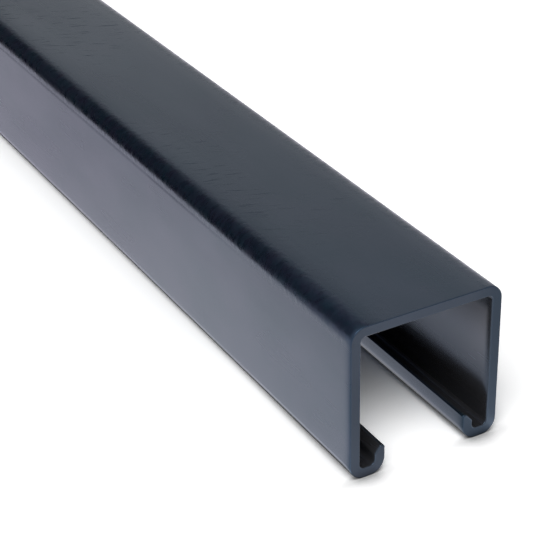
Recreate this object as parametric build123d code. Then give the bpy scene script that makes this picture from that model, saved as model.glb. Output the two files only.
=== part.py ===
"""Solid strut channel: one strip of 12 gauge steel, roll formed to a square C with in-turned lips.

The channel lies open side down: the web is on top, the two flanges stand at the sides and
the lips are turned in at the floor. X runs along the channel, Y across it and Z up. The
origin is on the floor, at the centre of the length. All sizes are in millimetres.
"""

from build123d import *
import os

# The rolled section
channel_width = 41.275        # 1 5/8 in, over the two flanges
channel_height = 41.275       # 1 5/8 in, from the feet to the back of the web
wall = 2.66                   # 12 gauge strip
lip_width = 9.525             # 3/8 in, how far each foot reaches in from its flange
lip_height = 7.14             # 9/32 in, how far each lip stands back up into the channel
bend_radius = 1.3             # inside radius of all six bends

# The strip's slit edges and the channel's cut ends
edge_thickness = 1.0          # what a lip's tip keeps of the wall, at its slot side
edge_bevel = 1.9              # height of the bevel from there to the lip's full thickness
edge_round = 0.4              # the three corners of the bevelled tip are rolled over
end_break = 0.25              # burr taken off round both cut ends

# The stock
channel_length = 609.6        # 24 in, a cut length that strut channel is sold in


def strip_midline():
    """The middle of the strip's thickness, from the centre of the web to one slit edge.

    Four straight runs, the web, a flange, the narrow foot and the lip, are joined by the
    three bends that the rolls put into the strip.
    """
    web_z = channel_height - wall / 2
    flange_y = channel_width / 2 - wall / 2
    foot_z = wall / 2
    lip_y = channel_width / 2 - lip_width + wall / 2
    return FilletPolyline(
        (0, web_z),
        (flange_y, web_z),
        (flange_y, foot_z),
        (lip_y, foot_z),
        (lip_y, lip_height),
        radius=bend_radius + wall / 2,
    )


def half_section():
    """One half of the section, with its slit edge bevelled on the side that faces the cavity."""
    slot_face_y = channel_width / 2 - lip_width
    cavity_face_y = slot_face_y + wall
    slot_corner = (slot_face_y, lip_height)
    tip = (slot_face_y + edge_thickness, lip_height)
    waste = (cavity_face_y, lip_height)
    root = (cavity_face_y, lip_height - edge_bevel)
    strip = trace(strip_midline(), line_width=wall)
    strip -= make_face(Polyline(tip, waste, root, close=True))
    for corner in (slot_corner, tip, root):
        nearest = strip.vertices().sort_by_distance(corner)[0]
        strip = fillet(nearest, edge_round)
    return strip


def channel_section():
    """Both halves joined at the middle of the web, drawn on the plane across the channel."""
    half = half_section()
    return Plane.YZ * (half + mirror(half, about=Plane.YZ))


def strut_channel():
    """The section carried along the length, with the burr taken off both cut ends."""
    bar = extrude(channel_section(), amount=channel_length / 2, both=True)
    cut_ends = bar.faces().filter_by(Axis.X)
    return chamfer(cut_ends.edges(), end_break)


def main():
    os.makedirs("parts", exist_ok=True)
    export_step(strut_channel(), "parts/strut_channel.step")


main()
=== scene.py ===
# %% [markdown]
# # A solid strut channel
#
# Strut channel is the framing stock that pipe clamps, trays and brackets hang from. A single
# strip of 12 gauge steel passes through a line of rolls and comes out as a square C, with
# both edges turned back in beside the slot so that a channel nut can grip them. This lesson
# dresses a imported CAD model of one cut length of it: a fine skin for the rolled strip, a
# semi-gloss black coat, and a plain white studio. Everything is in metres.

# %% Load the fixed frame
import math
from types import SimpleNamespace
import bpy
import numpy as np
from mathutils import Matrix, Vector


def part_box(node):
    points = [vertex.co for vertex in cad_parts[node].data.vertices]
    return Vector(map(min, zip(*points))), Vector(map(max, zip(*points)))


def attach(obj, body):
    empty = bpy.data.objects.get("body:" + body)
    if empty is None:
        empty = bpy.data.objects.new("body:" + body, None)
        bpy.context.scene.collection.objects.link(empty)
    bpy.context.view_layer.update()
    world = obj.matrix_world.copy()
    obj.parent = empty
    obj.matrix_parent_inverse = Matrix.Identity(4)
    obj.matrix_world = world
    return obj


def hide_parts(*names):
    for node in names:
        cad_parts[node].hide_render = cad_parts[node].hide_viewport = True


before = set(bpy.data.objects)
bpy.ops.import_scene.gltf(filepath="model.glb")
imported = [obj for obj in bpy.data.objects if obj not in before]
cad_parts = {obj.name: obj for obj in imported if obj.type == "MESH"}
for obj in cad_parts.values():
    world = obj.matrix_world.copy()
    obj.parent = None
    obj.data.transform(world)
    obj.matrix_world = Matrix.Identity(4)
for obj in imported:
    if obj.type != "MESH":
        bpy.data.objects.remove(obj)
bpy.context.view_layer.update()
low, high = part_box("strut_channel")
print("channel box", [round(c, 4) for c in low], [round(c, 4) for c in high])

# %% [markdown]
# ## The strip
#
# On the real channel every wall is the same strip, only bent. So it is easiest to draw it
# flat first: `s` runs across the strip from the middle of the web to a slit edge, and `t`
# goes through its thickness. The rolls then bend the `s` line, and `t` stays square to it.
# An extruded outline would give the same shape, but this way every point also knows where it
# lay on the flat strip, and its exact normal comes with it.

# %% The sizes of the section
MM = 0.001
CHANNEL = float(high.y - low.y)
HEIGHT = float(high.z - low.z)
LENGTH = float(high.x - low.x)
WALL = 2.66 * MM
LIP_WIDTH = 9.525 * MM
LIP_HEIGHT = 7.14 * MM
BEND = 1.3 * MM
EDGE_THICKNESS = 1.0 * MM
EDGE_BEVEL = 1.9 * MM
EDGE_ROUND = 0.4 * MM
END_BREAK = 0.25 * MM
WEB_CROWN = math.radians(10.5)
FLANGE_CROWN = math.radians(2.0)
WEB_REACH = (2.1 * MM, 0.7 * MM)
FLANGE_REACH = 1.2 * MM


def strip_runs():
    """The runs of half the midline, each as (length, turn): straight runs turn by nothing, and
    a bend turns by a right angle over its midline radius times pi / 2."""
    bend = BEND + WALL / 2
    quarter = math.pi / 2
    return [
        (CHANNEL / 2 - WALL / 2 - bend, 0.0),
        (bend * quarter, quarter),
        (HEIGHT - WALL - 2 * bend, 0.0),
        (bend * quarter, quarter),
        (LIP_WIDTH - WALL - 2 * bend, 0.0),
        (bend * quarter, quarter),
        (LIP_HEIGHT - WALL / 2 - bend, 0.0),
    ]


RUNS = strip_runs()
HALF_STRIP = sum(length for length, turn in RUNS)
print("strip width before rolling", round(2 * HALF_STRIP / MM, 1), "mm")


def springback(along):
    """How far the surface leans near the big bend, at distances along the strip from its middle.

    Rolled strip springs back, so the web is a little crowned beside the bend, and the flange
    takes up the bend a little late. The web's lean is WEB_CROWN * exp(-distance / reach) from
    the start of the bend, with a long reach over the web and a short one into the bend. The
    flange's is FLANGE_CROWN * exp(-distance / FLANGE_REACH) from the bend's end, and turns back.
    """
    from_web = along - RUNS[0][0]
    from_flange = from_web - RUNS[1][0]
    web_reach, bend_reach = WEB_REACH
    web = WEB_CROWN * np.exp(np.where(from_web < 0, from_web / web_reach, -from_web / bend_reach))
    return web - FLANGE_CROWN * np.exp(-np.abs(from_flange) / FLANGE_REACH)


def bend(s, t):
    """Carries points of the flat strip to the rolled section, and gives their direction of +t.

    Along each run the heading turns evenly, so the midline is the integral of the heading: a
    straight run adds length times (cos, sin), and a bend adds its radius times the change of
    (sin, -cos). The point then moves by t along the heading's outward normal. The springback only
    leans the normal: as shape it would move a point by under half a millimetre, and the outline
    stays that of the CAD model. The strip is mirrored for negative s.
    """
    side = np.where(s < 0, -1.0, 1.0)
    along = np.abs(s)
    y = np.zeros_like(along)
    z = np.full_like(along, HEIGHT - WALL / 2)
    heading = np.zeros_like(along)
    start, before = 0.0, 0.0
    for length, turn in RUNS:
        part = np.clip(along - start, 0.0, length)
        if turn:
            radius = length / turn
            after = before + part / radius
            y += radius * (np.sin(after) - math.sin(before))
            z -= radius * (math.cos(before) - np.cos(after))
            heading += part / radius
            before += turn
        else:
            y += part * math.cos(before)
            z -= part * math.sin(before)
        start += length
    up_y, up_z = np.sin(heading), np.cos(heading)
    shown = heading + springback(along)
    return (side * (y + t * up_y), z + t * up_z), (side * np.sin(shown), np.cos(shown))


# %% [markdown]
# ## The outline round the strip, and the stations along it
#
# Cut the strip and its outline is a long thin rectangle with its corners rounded by the
# slitting rolls. Written in `s` and `t`, that outline is simple, and it can be drawn a little
# smaller for the places where the saw's burr was taken off. Carrying this closed outline
# along X gives the whole skin as one grid: the first parameter goes round the outline and
# the second along the channel.

# %% The outline as flat strip points
BEND_STEPS = 14
FLAT_STEPS = 16
CORNER_STEPS = 5


def across_strip():
    """Values of s from the web's middle to a slit edge.

    A bend gets evenly spaced steps. A flat run gets steps spaced by (1 - cos) / 2 of an even
    angle, which crowds them towards its ends, where the finish changes fastest.
    """
    pieces, start = [], 0.0
    for length, turn in RUNS:
        steps = BEND_STEPS if turn else FLAT_STEPS
        share = np.arange(steps) / steps
        if not turn:
            share = (1 - np.cos(math.pi * share)) / 2
        pieces.append(start + length * share)
        start += length
    return np.concatenate(pieces)


def rounded_corner(before, corner, after, radius):
    """An arc of the given radius that rounds a corner of a path walked clockwise.

    With u and v the directions into and out of the corner, the arc starts radius * tan(turn / 2)
    before it and ends as far after it. Its outward direction turns evenly from the left of u to
    the left of v, and its centre lies one radius inwards. Returns points and directions.
    """
    into = np.subtract(corner, before) / np.linalg.norm(np.subtract(corner, before))
    out = np.subtract(after, corner) / np.linalg.norm(np.subtract(after, corner))
    first = math.atan2(into[0], -into[1])
    turn = math.acos(np.clip(into @ out, -1.0, 1.0))
    angle = first - turn * np.arange(CORNER_STEPS + 1) / CORNER_STEPS
    outward = np.stack([np.cos(angle), np.sin(angle)])
    start = corner - into * radius * math.tan(turn / 2)
    centre = start - outward[:, 0] * radius
    return centre[:, None] + radius * outward, outward


def outline(inset):
    """The closed outline of the strip, drawn smaller by inset on every side.

    The slot side runs from the middle of the web to the slit edge at t = WALL / 2 - inset. Three
    rounded corners follow: the edge's slot corner, and the two ends of the bevel that thins the
    edge on its cavity side. The path then returns at t = inset - WALL / 2. The other half is its
    mirror image in s. Returns s, t and the outward direction (ds, dt) of every point.
    """
    face = WALL / 2
    start = (0.0, face)
    slot_corner = (HALF_STRIP, face)
    tip = (HALF_STRIP, face - EDGE_THICKNESS)
    root = (HALF_STRIP - EDGE_BEVEL, -face)
    finish = (0.0, -face)
    path = [start, slot_corner, tip, root, finish]
    arcs = [rounded_corner(*path[i:i + 3], EDGE_ROUND) for i in range(3)]
    run = across_strip()
    run = run[run < HALF_STRIP - EDGE_BEVEL - EDGE_ROUND]
    run_face = np.stack([run, np.full_like(run, face)])
    run_out = np.stack([np.zeros_like(run), np.ones_like(run)])
    mirror_t = np.array([[1.0], [-1.0]])
    points = [run_face] + [arc for arc, outward in arcs] + [(run_face * mirror_t)[:, ::-1]]
    outward = [run_out] + [outward for arc, outward in arcs] + [(run_out * mirror_t)[:, ::-1]]
    points, outward = np.concatenate(points, axis=1), np.concatenate(outward, axis=1)
    points = points - inset * outward
    # The mirrored half runs back from the middle of the web's underside; the two points on the
    # centre plane are not repeated.
    mirror_s = np.array([[-1.0], [1.0]])
    points = np.concatenate([points, (points * mirror_s)[:, -2:0:-1]], axis=1)
    outward = np.concatenate([outward, (outward * mirror_s)[:, -2:0:-1]], axis=1)
    return points[0], points[1], outward[0], outward[1]


print("points round the outline", len(outline(0.0)[0]))

# %% The stations along the channel
BREAK_STEPS = 4
STATIONS = 96
EASE_STEPS = 16
EASE_LENGTH = 10.0 * MM
DRAW = math.radians(26.0)
DRAW_REACH = 0.85 * MM


def stations():
    """Rows along X as (x, inset, turn, lean), the last two being angles of the normal towards +X.

    The saw's edge is a quarter round of radius END_BREAK, so a turn of phi puts the row at the
    end less END_BREAK * (1 - sin phi), inset by END_BREAK * (1 - cos phi). Rows of the body are
    evenly spaced, and over the last EASE_LENGTH they crowd by squares. The cut also drags the
    surface, in its normals only: on the body the lean is DRAW * exp(-distance / DRAW_REACH), and
    round the edge it goes on from DRAW to a right angle.
    """
    phi = np.linspace(0.0, math.pi / 2, BREAK_STEPS + 1)
    end_x = LENGTH / 2 - END_BREAK * (1 - np.sin(phi))
    end_inset = END_BREAK * (1 - np.cos(phi))
    end_lean = DRAW + phi * (1 - DRAW / (math.pi / 2))
    half = LENGTH / 2 - END_BREAK
    ease = EASE_LENGTH * np.linspace(1.0, 0.0, EASE_STEPS, endpoint=False) ** 2
    body = np.linspace(0.0, half - EASE_LENGTH, STATIONS // 2)[:-1]
    near = np.concatenate([body, half - ease])
    near_lean = DRAW * np.exp(-(half - near) / DRAW_REACH)
    nothing = np.zeros_like(near)
    x = np.concatenate([near, end_x])
    inset = np.concatenate([nothing, end_inset])
    turn = np.concatenate([nothing, phi])
    lean = np.concatenate([near_lean, end_lean])
    return (np.concatenate([-x[:0:-1], x]), np.concatenate([inset[:0:-1], inset]),
            np.concatenate([-turn[:0:-1], turn]), np.concatenate([-lean[:0:-1], lean]))


# %% The skin as a grid
CENTRE_X = float(high.x + low.x) / 2
CENTRE_Y = float(high.y + low.y) / 2
FLOOR_Z = float(low.z)


def skin_grid():
    """Points, normals and strip places of the skin, each indexed by (station, point, axis).

    Point (i, j) is outline point j, drawn smaller by station i's inset and bent to the rolled
    section. Its normal adds dt times the strip's own normal to ds times the direction of s, and
    then leans towards the end of the channel: by the station's turn on level faces, and by its
    lean on upright ones, which the cut has dragged.
    """
    points, normals, strip = [], [], []
    for x, inset, turn, lean in zip(*stations()):
        s, t, ds, dt = outline(inset)
        (y, z), (up_y, up_z) = bend(s, t)
        along = np.full_like(s, x)
        leaning = turn + (lean - turn) * np.abs(up_y)
        flat = np.cos(leaning)
        points.append([CENTRE_X + along, CENTRE_Y + y, FLOOR_Z + z])
        normals.append([np.sin(leaning),
                        flat * (dt * up_y + ds * up_z), flat * (dt * up_z - ds * up_y)])
        strip.append([along, s, t])
    return [np.moveaxis(np.array(grid), 1, 2) for grid in (points, normals, strip)]


points, normals, strip = skin_grid()
print("skin grid", points.shape[:2], "stations by outline points")


# %% [markdown]
# ## Faces, and the two cut ends
#
# Neighbouring stations are joined by quads all the way round. A cut end is a face with the
# shape of the section, which is long and hooked, and one big polygon of that shape shades and
# splits badly. The strip has the same number of points on both of its sides, so a ladder of
# quads across its thickness closes the end neatly.

# %% Faces of the skin
def side_faces(rows, around):
    """Quads (i, j), (i + 1, j), (i + 1, j + 1), (i, j + 1), with j wrapping round the outline."""
    index = np.arange(rows * around).reshape(rows, around)
    ahead = np.roll(index, -1, axis=1)
    return np.stack([index[:-1], index[1:], ahead[1:], ahead[:-1]], axis=-1).reshape(-1, 4)


def end_faces(around):
    """A ladder of quads over one outline: rung k joins point k to the point facing it.

    One half of the strip holds points 0 to half - 1, so point k faces point half - 1 - k. The
    mirrored half counts backwards from 0, so its rungs are the same ones, negated modulo around.
    """
    half = around // 2 + 1
    rung = np.arange(half // 2 - 1)
    ladder = np.stack([rung, rung + 1, half - 2 - rung, half - 1 - rung], axis=-1)
    return np.concatenate([ladder, (-ladder[:, ::-1]) % around])


def make_skin(name):
    """Builds the mesh, gives it its worked-out normals, and stores each point's strip place."""
    rows, around = points.shape[:2]
    last = (rows - 1) * around
    ladder = end_faces(around)
    faces = np.concatenate([side_faces(rows, around), ladder, ladder[:, ::-1] + last])
    mesh = bpy.data.meshes.new(name)
    mesh.from_pydata(points.reshape(-1, 3).tolist(), [], faces.tolist())
    mesh.validate()
    mesh.shade_smooth()
    mesh.normals_split_custom_set_from_vertices(normals.reshape(-1, 3).tolist())
    place = mesh.attributes.new("strip", "FLOAT_VECTOR", "POINT")
    place.data.foreach_set("vector", strip.reshape(-1).astype(np.float32))
    piece = bpy.data.objects.new(name, mesh)
    bpy.context.scene.collection.objects.link(piece)
    return piece


def enclosed_volume(mesh):
    """The sum over triangles of a . (b x c) / 6, which is positive when faces point outwards."""
    mesh.calc_loop_triangles()
    corners = np.empty(len(mesh.loop_triangles) * 3, np.int32)
    mesh.loop_triangles.foreach_get("vertices", corners)
    place = np.empty(len(mesh.vertices) * 3)
    mesh.vertices.foreach_get("co", place)
    a, b, c = place.reshape(-1, 3)[corners.reshape(-1, 3)].transpose(1, 0, 2)
    return float((a * np.cross(b, c)).sum() / 6)


skin = make_skin("rolled_channel")
volume = enclosed_volume(skin.data)
print("faces", len(skin.data.polygons), "volume", round(volume * 1e9), "mm3")
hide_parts("strut_channel")
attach(skin, "root")

# %% [markdown]
# ## The camera
#
# The channel is seen from above its near end, from the side of its left flange, with a long
# lens set close by, so that the web narrows strongly towards the far end. The camera is aimed
# at a point on the web. A real camera on a tripod is seldom level, and this one leans by a
# degree.

# %% Place the camera
NEAR_END = Vector((CENTRE_X + LENGTH / 2, CENTRE_Y, FLOOR_Z))
EYE = NEAR_END + Vector((271.2, -191.5, 240.4)) * MM
AIM = NEAR_END + Vector((-33.0, -22.4, 41.3)) * MM
LEAN = math.radians(1.19)
LENS = 114.0


def add_camera(eye, aim, lean, lens):
    """A camera at eye whose -Z axis points at aim, turned about that axis by lean."""
    data = bpy.data.cameras.new("view")
    data.lens = lens
    data.clip_start = 0.01
    camera = bpy.data.objects.new("view", data)
    facing = (aim - eye).to_track_quat("-Z", "Y").to_matrix().to_4x4()
    camera.matrix_world = Matrix.Translation(eye) @ facing @ Matrix.Rotation(lean, 4, "Z")
    bpy.context.scene.collection.objects.link(camera)
    bpy.context.scene.camera = camera
    return camera


camera = add_camera(EYE, AIM, -LEAN, LENS)
print("camera distance", round((AIM - EYE).length, 3), "m")
print("right axis", [round(c, 4) for c in camera.matrix_world.col[0][:3]])

# %% [markdown]
# ## Arithmetic on shader sockets
#
# A finish is mostly arithmetic on patterns: this noise times that mask, plus a little. Wiring
# Math nodes by hand hides the idea, so a small class wraps a socket and lets Python's own
# operators add the nodes.

# %% A socket that can be calculated with
class Field:
    """An output of a node tree. Python arithmetic on it adds Math nodes."""

    def __init__(self, tree, socket=None):
        self.tree = tree
        self.socket = socket

    def node(self, kind, settings=None, inputs=None, output=0):
        """Adds a shader node: first its settings, then a value or a link for each input."""
        made = self.tree.nodes.new("ShaderNode" + kind)
        for key, value in (settings or {}).items():
            setattr(made, key, value)
        for key, value in (inputs or {}).items():
            if isinstance(value, Field):
                self.tree.links.new(value.socket, made.inputs[key])
            else:
                made.inputs[key].default_value = value
        return Field(self.tree, made.outputs[output] if made.outputs else None)

    def math(self, operation, *values):
        """One Math node on the given values."""
        return self.node("Math", {"operation": operation}, dict(enumerate(values)))

    def __add__(self, other):
        return self.math("ADD", self, other)

    def __sub__(self, other):
        return self.math("SUBTRACT", self, other)

    def __rsub__(self, other):
        return self.math("SUBTRACT", other, self)

    def __mul__(self, other):
        return self.math("MULTIPLY", self, other)

    __radd__ = __add__
    __rmul__ = __mul__

    def unsigned(self):
        """The value without its sign."""
        return self.math("ABSOLUTE", self)

    def parts(self, axes="XYZ"):
        """The named axes of a vector, one field each."""
        return [self.node("SeparateXYZ", None, {"Vector": self}, output=axis) for axis in axes]

    def fade(self, start, end):
        """Rises smoothly from 0 at start to 1 at end, by Map Range's smooth step."""
        return self.node("MapRange", {"interpolation_type": "SMOOTHSTEP"},
                         {"Value": self, "From Min": start, "From Max": end})

    def falloff(self, start, end):
        """A fade the other way, with the higher value first: 0 from start up, 1 from end down."""
        return self.node("MapRange", {"interpolation_type": "SMOOTHSTEP"},
                         {"Value": self, "From Min": end, "From Max": start,
                          "To Min": 1.0, "To Max": 0.0})

    def mix(self, low, high):
        """A colour: low where this field is 0 and high where it is 1."""
        settings = {"data_type": "RGBA", "clamp_factor": True}
        return self.node("Mix", settings, {0: self, 6: low, 7: high}, output=2)

    def blend(self, low, high):
        """A shader: low where this field is 0 and high where it is 1."""
        return self.node("MixShader", None, {0: self, 1: low, 2: high})


def empty_material(name):
    """A new material with a bare node tree, and the Field that starts in it."""
    material = bpy.data.materials.new(name)
    material.use_nodes = True
    material.node_tree.nodes.clear()
    return material, Field(material.node_tree)


# %% [markdown]
# ## The studio
#
# A black glossy part is seen by what it reflects, so the studio is built from what each face
# should mirror. The floor is white and goes on past the view. A grey wall of light stands
# behind and to the right, and the web mirrors it. A wide light in front serves the cut end, and
# one overhead serves anyone who looks down on the web. What lies behind and to the left stays
# dark, and a low black board off the left flange shows only in reflections. So the rounded edge
# between web and flange draws a dark line: studios do the same with black card.

# %% The world
WHITE = (1.0, 1.0, 1.0, 1.0)
BLACK = (0.0, 0.0, 0.0, 1.0)
DOME = (0.50, 0.50, 0.50, 1.0)
WALL_LIGHT = (0.62, 0.62, 0.62, 1.0)
DARK_SIDE = (0.02, 0.02, 0.02, 1.0)
HORIZON = (0.40, 0.40, 0.40, 1.0)
WALL_EDGE = (0.02, 0.33)
WALL_TOP = (0.74, 0.50)
FRONT_EDGE = (-0.60, -0.35)
OVERHEAD_EDGE = (0.60, 1.0)
HORIZON_TOP = (0.22, 0.02)


def paint_world():
    """White for the camera and an even dome for the floor. Reflections see lights and darkness.

    A direction's y, x and z say how far it points to the right, to the front and up. The wall's
    light is its fade in y times its fade in z. The brightest of wall, front and overhead light
    counts, over a dark side that is paler just above the horizon.
    """
    world = bpy.data.worlds.new("studio")
    world.use_nodes = True
    world.node_tree.nodes.clear()
    start = Field(world.node_tree)
    x, y, z = start.node("TexCoord", output="Generated").parts()
    wall = y.fade(*WALL_EDGE) * z.falloff(*WALL_TOP)
    front_or_top = start.math("MAXIMUM", x.fade(*FRONT_EDGE), z.fade(*OVERHEAD_EDGE))
    lights = start.math("MAXIMUM", wall, front_or_top)
    dark_side = z.falloff(*HORIZON_TOP).mix(DARK_SIDE, HORIZON)
    glossy_ray = start.node("LightPath", output="Is Glossy Ray")
    mirrored = glossy_ray.mix(DOME, lights.mix(dark_side, WALL_LIGHT))
    seen = start.node("LightPath", output="Is Camera Ray").mix(mirrored, WHITE)
    shine = start.node("Background", None, {"Color": seen, "Strength": 1.0})
    start.node("OutputWorld", None, {"Surface": shine})
    bpy.context.scene.world = world
    return world


world = paint_world()
print("world nodes", len(world.node_tree.nodes))

# %% [markdown]
# ## The floor
#
# The floor answers two kinds of ray in two ways. To the camera it is paper that only shadow can
# darken, so the channel stands on plain white with a soft dark line where steel comes close: a
# painted contact shadow, added to the real shadow. To the gloss of the coat it is a glowing sheet
# whose brightness can be set place by place, so it paints what the coat reflects, because on a
# black part those reflections are the picture. Ambient occlusion gives both their nearness to
# steel: it is the share of sky that a point still sees within a given reach.

# %% Places on the floor
AO_SAMPLES = 8
CONTACT_REACH = 10 * MM
MIRRORED_REACH = 3 * MM
SLOT_EDGE = (14 * MM, 10 * MM)


def openness(start, reach):
    """The share of open sky at a point, counting only what stands closer than reach."""
    settings = {"samples": AO_SAMPLES}
    return start.node("AmbientOcclusion", settings, {"Distance": reach}, output="AO")


def floor_places(start):
    """Where a floor point lies: behind the near end, and from the channel's centre plane.

    The third field is 1 under the slot and 0 beyond it, with the soft edge SLOT_EDGE.
    """
    x, y = start.node("NewGeometry", output="Position").parts("XY")
    behind = NEAR_END.x - x
    from_centre = (y - NEAR_END.y).unsigned()
    return behind, from_centre, from_centre.falloff(*SLOT_EDGE)


# %% The floor as the camera sees it
FLOOR_COLOUR = (0.80, 0.80, 0.80, 1.0)
CONTACT_POWERS = (0.19, 0.20, 1.9)
CONTACT_NEAR = (60 * MM, 20 * MM)
CONTACT_FRONT = (2 * MM, -1 * MM)
PAPER_EDGE = (0.45, 0.75)
CHANNEL_FOOT = (CENTRE_X, CENTRE_Y, FLOOR_Z)


def seen_paper(start, behind, slot):
    """White paper, twice as bright as paint, so that only shadow shows on it.

    Its colour darkens by its openness within CONTACT_REACH to a power: a painted contact shadow,
    on top of the lamps' real shadow. The first of CONTACT_POWERS holds all along the channel, the
    second is added towards its near end, and both stay out of the slot. The third is added in
    front of the near end. Past PAPER_EDGE, a distance from the middle of the channel, the paper
    gives way to plain white.
    """
    all_along, near, front = CONTACT_POWERS
    under = (all_along + behind.falloff(*CONTACT_NEAR) * near) * (1.0 - slot)
    power = under + behind.falloff(*CONTACT_FRONT) * front
    # Painted contact shadow: the paper's colour goes towards black where steel stands close.
    painted_shadow = start.math("POWER", openness(start, CONTACT_REACH), power).mix(BLACK, FLOOR_COLOUR)
    sheet = start.node("BsdfDiffuse", None, {"Color": painted_shadow})
    bright_sheet = start.node("AddShader", None, {0: sheet, 1: sheet})
    position = start.node("NewGeometry", output="Position")
    ends = {0: position, 1: CHANNEL_FOOT}
    away = start.node("VectorMath", {"operation": "DISTANCE"}, ends, output="Value")
    plain_white = start.node("Emission", None, {"Color": WHITE, "Strength": 1.0})
    return away.fade(*PAPER_EDGE).blend(bright_sheet, plain_white)


# %% The floor as the gloss sees it
MIRRORED_FAR = (1.04, 0.98, 1.09, 1.0)
MIRRORED_NEAR = (1.40, 1.35, 1.39, 1.0)
MIRRORED_EDGE = (220 * MM, 60 * MM)
MIRRORED_FRONT = (1.15, 1.15, 1.15, 1.0)
FRONT_START = (10 * MM, -4 * MM)
MIRRORED_POWER = 3.3
SLOT_POWER_LOSS = 3.0
SLOT_MIDDLE = (9.5 * MM, 5.5 * MM)
SLOT_DIP = 0.40
FOOT_LINE_RISE = (-0.3 * MM, 0.6 * MM)
FOOT_LINE_FALL = (2.6 * MM, 1.2 * MM)
FOOT_LINE = 1.3
DIM_OUTSIDE = (17 * MM, 30 * MM)
DIM_BEHIND = (130 * MM, 75 * MM)
DIM_FLOOR = 0.17


def mirrored_paper(start, behind, from_centre, slot):
    """The light that the coat's gloss finds on the floor: a colour times a strength.

    The colour goes from MIRRORED_FAR to MIRRORED_NEAR along the channel, and to MIRRORED_FRONT
    before its near end. The strength is the openness within MIRRORED_REACH to MIRRORED_POWER,
    or to SLOT_POWER_LOSS less in the slot. It then dips by SLOT_DIP in the slot's middle, rises
    by FOOT_LINE in a thin line along the flange's foot, and dips by DIM_FLOOR on the outer floor
    towards the near end.
    """
    # The floor glows for glossy rays only, so its bands, dips and darkening near steel are
    # painted reflections and painted shade in the coat.
    beside = behind.falloff(*MIRRORED_EDGE).mix(MIRRORED_FAR, MIRRORED_NEAR)
    colour = behind.falloff(*FRONT_START).mix(beside, MIRRORED_FRONT)
    outside = from_centre - CHANNEL / 2
    line = outside.fade(*FOOT_LINE_RISE) * outside.falloff(*FOOT_LINE_FALL)
    dim = outside.fade(*DIM_OUTSIDE) * behind.falloff(*DIM_BEHIND)
    power = MIRRORED_POWER - slot * SLOT_POWER_LOSS
    strength = start.math("POWER", openness(start, MIRRORED_REACH), power)
    strength = strength * (1.0 - from_centre.falloff(*SLOT_MIDDLE) * SLOT_DIP)
    strength = strength * (1.0 + line * FOOT_LINE) * (1.0 - dim * DIM_FLOOR)
    return start.node("Emission", None, {"Color": colour, "Strength": strength})


# %% Lay the floor
FLOOR_SIDE = 8.0


def plane_mesh(name, corners):
    """One face through the given corners, in order."""
    mesh = bpy.data.meshes.new(name)
    mesh.from_pydata([tuple(corner) for corner in corners], [], [tuple(range(len(corners)))])
    thing = bpy.data.objects.new(name, mesh)
    bpy.context.scene.collection.objects.link(thing)
    return thing


def floor_material():
    """Plain paint for light that bounces, white paper for the camera, a lit sheet for gloss."""
    material, start = empty_material("studio_floor")
    behind, from_centre, slot = floor_places(start)
    paint = start.node("BsdfDiffuse", None, {"Color": FLOOR_COLOUR})
    camera_ray = start.node("LightPath", output="Is Camera Ray")
    glossy_ray = start.node("LightPath", output="Is Glossy Ray")
    lit = camera_ray.blend(paint, seen_paper(start, behind, slot))
    shader = glossy_ray.blend(lit, mirrored_paper(start, behind, from_centre, slot))
    start.node("OutputMaterial", None, {"Surface": shader})
    return material


def add_floor():
    """A large square under the channel, centred on it."""
    reach = FLOOR_SIDE / 2
    signs = ((-1, -1), (1, -1), (1, 1), (-1, 1))
    corners = [(CENTRE_X + reach * a, CENTRE_Y + reach * b, FLOOR_Z) for a, b in signs]
    floor = plane_mesh("floor", corners)
    floor.data.materials.append(floor_material())
    return floor


floor = add_floor()
print("floor", FLOOR_SIDE, "m square")

# %% The black board
BOARD_GAP = 60 * MM
BOARD_HEIGHT = 58 * MM
BOARD_ENDS = (-1.0, 0.40)
BOARD_FADE = (120 * MM, 45 * MM)


def board_material():
    """Black card: nothing comes back from it. It thins out to nothing towards the near end."""
    material, start = empty_material("studio_board")
    behind = NEAR_END.x - start.node("TexCoord", output="Object").parts("X")[0]
    card = start.node("Emission", None, {"Strength": 0.0})
    clear = start.node("BsdfTransparent")
    faded = behind.falloff(*BOARD_FADE).blend(card, clear)
    start.node("OutputMaterial", None, {"Surface": faded})
    return material


def add_board():
    """A low upright strip parallel to the channel, off its left flange, seen in reflections only.

    Its height and its gap set how wide the dark line on the rounded edge is.
    """
    y = float(low.y) - BOARD_GAP
    far, near = BOARD_ENDS
    top = FLOOR_Z + BOARD_HEIGHT
    corners = [(far, y, FLOOR_Z), (near, y, FLOOR_Z), (near, y, top), (far, y, top)]
    board = plane_mesh("board", corners)
    board.data.materials.append(board_material())
    board.visible_camera = False
    board.visible_diffuse = False
    board.visible_shadow = False
    board.visible_transmission = False
    return board


board = add_board()
print("board", round(BOARD_HEIGHT, 3), "m tall,", round(BOARD_GAP, 3), "m off the flange")

# %% [markdown]
# ## The lamps
#
# The world lights the floor evenly, and two lamps finish the job. A large soft key hangs high
# in front and to the left. A small spot leans over the mouth of the channel and lights the
# floor just inside it, which the web would leave dark. It is kept out of reflections, because a
# lamp that close would show as a spark in the coat.

# %% Hang the lamps
KEY_FROM = Vector((0.35, -0.62, 1.0))
KEY_DISTANCE = 1.6
KEY_SIDE = 1.1
KEY_STRENGTH = 0.42
MOUTH_PLACE = Vector((22.0, -14.0, 85.0)) * MM
MOUTH_AIM = Vector((-28.0, 0.0, 0.0)) * MM
MOUTH_SIDE = 50 * MM
MOUTH_STRENGTH = 0.38
MOUTH_CONE = math.radians(46.0)
SPHERE_SHARE = 4


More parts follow.
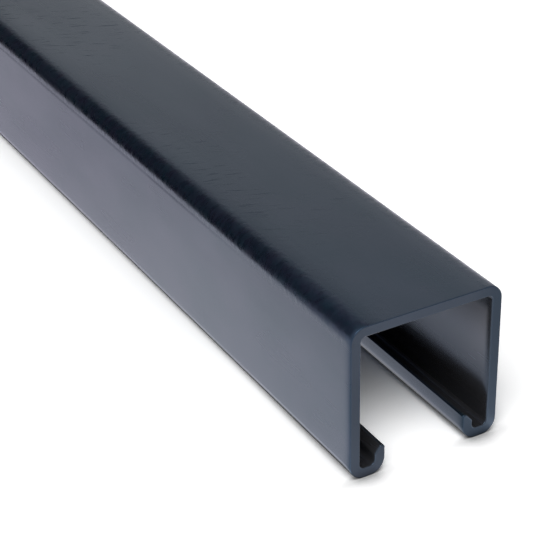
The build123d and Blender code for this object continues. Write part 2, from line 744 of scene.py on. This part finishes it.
def add_lamp(name, place, aim, side, strength, cone=None):
    """A soft light at place that turns to aim, and adds strength to the floor's light there.

    A small square of power P at distance d lights a face turned to it by P / (pi * d * d), so P
    is strength times pi squared times d squared, over the floor's cosine. A spot with a cone
    spreads its power over a whole sphere, so it needs SPHERE_SHARE times as much.
    """
    back = place - aim
    data = bpy.data.lights.new(name, "SPOT" if cone else "AREA")
    data.energy = strength * math.pi ** 2 * back.length ** 2 / back.normalized().z
    if cone:
        data.energy *= SPHERE_SHARE
        data.shadow_soft_size = side / 2
        data.spot_size = cone
        data.spot_blend = 1.0
    else:
        data.size = side
    lamp = bpy.data.objects.new(name, data)
    facing = (-back).to_track_quat("-Z", "Y").to_matrix().to_4x4()
    lamp.matrix_world = Matrix.Translation(place) @ facing
    bpy.context.scene.collection.objects.link(lamp)
    return lamp


key_place = NEAR_END + KEY_FROM.normalized() * KEY_DISTANCE
key = add_lamp("key", key_place, NEAR_END, KEY_SIDE, KEY_STRENGTH)
mouth = add_lamp("mouth", NEAR_END + MOUTH_PLACE, NEAR_END + MOUTH_AIM,
                 MOUTH_SIDE, MOUTH_STRENGTH, MOUTH_CONE)
mouth.visible_camera = False
mouth.visible_glossy = False
print("lamps", round(key.data.energy, 2), "W and", round(mouth.data.energy, 4), "W")

# %% [markdown]
# ## The black coat
#
# The finish is a thin black enamel with a trace of blue, over rolled strip.
# It is not a metal to the eye: nearly all of its grey is reflection at a slant, which is why
# the flange looks lighter than the web. So its own colour is almost black, and the care goes
# into the gloss. Each mark is placed by where it lies on the flat strip, so it follows the
# bends as a mark made by the rolls does.

# %% Places on the strip
WEB_HALF = RUNS[0][0]
BEND_RISE = (WEB_HALF - 2 * MM, WEB_HALF)
BEND_FALL = (WEB_HALF + 6 * MM, WEB_HALF + 4 * MM)
CUT_RISE = (LENGTH / 2 - 0.02 * MM, LENGTH / 2)
PRESSED_FALL = (LENGTH / 2 - 30 * MM, LENGTH / 2 - 90 * MM)
ROLLING_SCALE = (6.0, 700.0, 0.0)


def stretched_noise(start, place, scale, detail=2.0):
    """Noise between 0 and 1 whose features are 1 / scale long on each axis of place."""
    stretched = start.node("VectorMath", {"operation": "MULTIPLY"}, {0: place, 1: scale})
    return start.node("TexNoise", None, {"Vector": stretched, "Scale": 1.0, "Detail": detail})


def strip_places(start):
    """The fields that say where a point lies on the flat strip.

    along and across are its distances from the middle of the length and of the web, in metres,
    and from_middle is across without its sign. outside is 1 on the outer face and 0 on the
    cavity's. on_bend is 1 on the outside of the two big bends. cut is 1 on both cut ends, and
    end_gap is the distance from the nearer one. pressed is 0 by the near end and 1 from 90 mm
    behind it. rolling is a noise drawn out along the channel.
    """
    strip = start.node("Attribute", {"attribute_name": "strip"}, output="Vector")
    along, across, depth = strip.parts()
    from_middle = across.unsigned()
    outside = depth.fade(0.0, WALL / 2)
    return SimpleNamespace(
        strip=strip, along=along, across=across, from_middle=from_middle, outside=outside,
        on_bend=from_middle.fade(*BEND_RISE) * from_middle.falloff(*BEND_FALL) * outside,
        cut=along.unsigned().fade(*CUT_RISE),
        end_gap=LENGTH / 2 - along.unsigned(),
        pressed=along.falloff(*PRESSED_FALL),
        rolling=stretched_noise(start, strip, ROLLING_SCALE),
    )


# %% The coat's height
PEEL_SCALE = (650.0, 650.0, 650.0)
PEEL_HEIGHT = 0.012 * MM
BEND_PEEL = 5.0
ROLLING_HEIGHT = 0.010 * MM
ROLL_LINE_PLACE = WEB_HALF + 4.9 * MM
ROLL_LINE_WIDTH = 1.2 * MM
ROLL_LINE_HEIGHT = 0.10 * MM


def coat_height(start, at):
    """Height in metres: ripple, plus rolling lines, plus the step that a roll pressed in.

    Ripple is noise times PEEL_HEIGHT, and up to 1 + BEND_PEEL times that on the stretched
    outside of the two big bends. Rolling lines are noise drawn out along the channel. The step
    rises by ROLL_LINE_HEIGHT over ROLL_LINE_WIDTH, just below the big bend.
    """
    place = start.node("TexCoord", output="Object")
    ripple = stretched_noise(start, place, PEEL_SCALE) * PEEL_HEIGHT
    ripple = ripple * (1.0 + at.on_bend * BEND_PEEL)
    step = at.from_middle.fade(ROLL_LINE_PLACE, ROLL_LINE_PLACE + ROLL_LINE_WIDTH)
    step = step * at.outside * at.pressed
    return ripple + at.rolling * ROLLING_HEIGHT + step * ROLL_LINE_HEIGHT


# %% The coat's scratches
WANDER_SCALE = (25.0, 25.0, 0.0)
WANDER = 12 * MM
SCRATCH_SLANT = 0.42
SCRATCH_SCALE = (1200.0, 130.0)
SCRATCH_RANGE = (0.57, 0.74)
RUBBED_SCALE = (14.0, 30.0, 0.0)
RUBBED_RANGE = (0.45, 0.62)
WEB_EDGE = (WEB_HALF, WEB_HALF - 3 * MM)


def scratches(start, at):
    """Fine scratches across the web, in patches.

    They are noise drawn out across the strip. SCRATCH_SLANT leans them, because each metre
    across moves the pattern along by that much, and a slow noise times WANDER bends them.
    """
    wander = stretched_noise(start, at.strip, WANDER_SCALE) * WANDER
    fine, coarse = SCRATCH_SCALE
    lines = {"X": (at.along - at.across * SCRATCH_SLANT + wander) * fine, "Y": at.across * coarse}
    slanted = start.node("CombineXYZ", None, lines)
    scratch = start.node("TexNoise", None, {"Vector": slanted, "Scale": 1.0})
    rubbed = stretched_noise(start, at.strip, RUBBED_SCALE).fade(*RUBBED_RANGE)
    on_web = at.from_middle.falloff(*WEB_EDGE) * at.outside
    return scratch.fade(*SCRATCH_RANGE) * rubbed * on_web


# %% The coat's gloss
GLOSS = 0.20
BLOTCH_SCALE = (18.0, 60.0, 0.0)
STRAIN_SCALE = (700.0, 420.0, 0.0)
MATT_RANGE = (0.35, 0.70)
FINE_DETAIL = 6.0
BLOTCH_MATT = 0.06
ROLLING_MATT = 0.04
SCRATCH_MATT = 0.12
PRESSED_MATT = 0.24
STRAIN_MATT = 0.12
CUT_MATT = 0.22


def coat_roughness(start, at):
    """GLOSS, made rougher by blotches, rolling lines, scratches, strained enamel and the saw.

    Scratches add SCRATCH_MATT at the near end, and PRESSED_MATT more where the web is pressed.
    Strained enamel is a fine noise on the outside of the two big bends.
    """
    blotch = stretched_noise(start, at.strip, BLOTCH_SCALE).fade(*MATT_RANGE)
    strained = stretched_noise(start, at.strip, STRAIN_SCALE, FINE_DETAIL).fade(*MATT_RANGE)
    rough = GLOSS + blotch * BLOTCH_MATT + at.rolling * ROLLING_MATT
    rough = rough + scratches(start, at) * (SCRATCH_MATT + at.pressed * PRESSED_MATT)
    return rough + strained * at.on_bend * STRAIN_MATT + at.cut * CUT_MATT


# %% The coat's colour outside
TEAL_COLOUR = (0.003, 0.008, 0.014, 1.0)
PLUM_COLOUR = (0.006, 0.006, 0.014, 1.0)
PATCH_SCALE = (220.0, 420.0, 0.0)
SMUDGE_DARK = (0.000, 0.006, 0.009, 1.0)
SMUDGE_PALE = (0.016, 0.015, 0.024, 1.0)
SMUDGE_SCALE = (45.0, 75.0, 0.0)
SMUDGE_DETAIL = 3.0
TINT_RANGE = (0.30, 0.70)
SMUDGE_MEAN = 0.35
WEB_SMUDGE = 0.25
SIDE_RISE = (WEB_HALF + 2 * MM, WEB_HALF + 6 * MM)


def outer_colour(start, at):
    """Smudges on the flat walls, and small teal and plum patches on the big bends.

    A smudge is a noise about SMUDGE_MEAN. It has its full swing on the flanges, and WEB_SMUDGE
    of it on the web.
    """
    patch = stretched_noise(start, at.strip, PATCH_SCALE, FINE_DETAIL).fade(*TINT_RANGE)
    smudge = stretched_noise(start, at.strip, SMUDGE_SCALE, SMUDGE_DETAIL).fade(*TINT_RANGE)
    swing = at.from_middle.fade(*SIDE_RISE) * (1.0 - WEB_SMUDGE) + WEB_SMUDGE
    smudge = SMUDGE_MEAN + (smudge - SMUDGE_MEAN) * swing
    flat = smudge.mix(SMUDGE_DARK, SMUDGE_PALE)
    return at.on_bend.mix(flat, patch.mix(TEAL_COLOUR, PLUM_COLOUR))


# %% The coat's colour inside, with painted light and shade, and on the cuts
INSIDE_COLOUR = (0.024, 0.024, 0.026, 1.0)
# Painted light: a lighter grey on the cavity's upper walls, standing in for light that falls
# there.
PAINTED_LIGHT_COLOUR = (0.125, 0.122, 0.133, 1.0)
PAINTED_LIGHT_FALL = (WEB_HALF + 29 * MM, WEB_HALF + 13 * MM)
PAINTED_LIGHT_RISE = (1.0 * MM, 2.6 * MM)
# Painted shade: a darker band beside each cut, at the top of the cavity.
PAINTED_SHADE_FALL = (WEB_HALF + 8.5 * MM, WEB_HALF + 6 * MM)
PAINTED_SHADE_REACH = (8.5 * MM, 7 * MM)
CUT_COLOUR = (0.021, 0.019, 0.022, 1.0)
CUT_FAR_COLOUR = (0.003, 0.003, 0.004, 1.0)
CUT_RIGHT = (WEB_HALF - 6 * MM, WEB_HALF + 4 * MM)


def inner_colour_with_painted_light(at):
    """The cavity's coat: painted light under the web and down the upper flanges, black lower
    down.

    The painted light is a lighter grey that stands in for light falling on those walls. It stops
    just short of both cuts. It also leaves out a band of painted shade beside each cut, across
    the web and down the upper part of each flange.
    """
    painted_shade = at.from_middle.falloff(*PAINTED_SHADE_FALL) * at.end_gap.falloff(*PAINTED_SHADE_REACH)
    painted_light = at.from_middle.falloff(*PAINTED_LIGHT_FALL) * at.end_gap.fade(*PAINTED_LIGHT_RISE) * (1.0 - painted_shade)
    return painted_light.mix(INSIDE_COLOUR, PAINTED_LIGHT_COLOUR)


def coat_colour(start, at):
    """The outer or the inner colour, and on the cut ends a grey that is darker on the right."""
    # The inner colour carries the painted light and the painted shade.
    skin_colour = at.outside.mix(inner_colour_with_painted_light(at), outer_colour(start, at))
    sawn = at.across.fade(*CUT_RIGHT).mix(CUT_COLOUR, CUT_FAR_COLOUR)
    return at.cut.mix(skin_colour, sawn)


# %% Put the coat on
COAT_IOR = 1.75
COAT_TINT = (0.42, 0.65, 1.0, 1.0)


def black_coat():
    """Black enamel: glossy and faintly rippled on the rolled skin, and duller on the cuts."""
    material, start = empty_material("black_coat")
    at = strip_places(start)
    relief = {"Height": coat_height(start, at), "Strength": 1.0, "Distance": 1.0}
    finish = {
        "IOR": COAT_IOR,
        "Specular Tint": COAT_TINT,
        "Base Color": coat_colour(start, at),
        "Roughness": coat_roughness(start, at),
        "Normal": start.node("Bump", None, relief, output="Normal"),
    }
    start.node("OutputMaterial", None, {"Surface": start.node("BsdfPrincipled", None, finish)})
    return material


skin.data.materials.append(black_coat())
print("coat on", skin.name)

# %% [markdown]
# ## Finish
#
# The finish never changes the size of the part.

# %% Set the view transform
bpy.context.scene.view_settings.view_transform = "Standard"
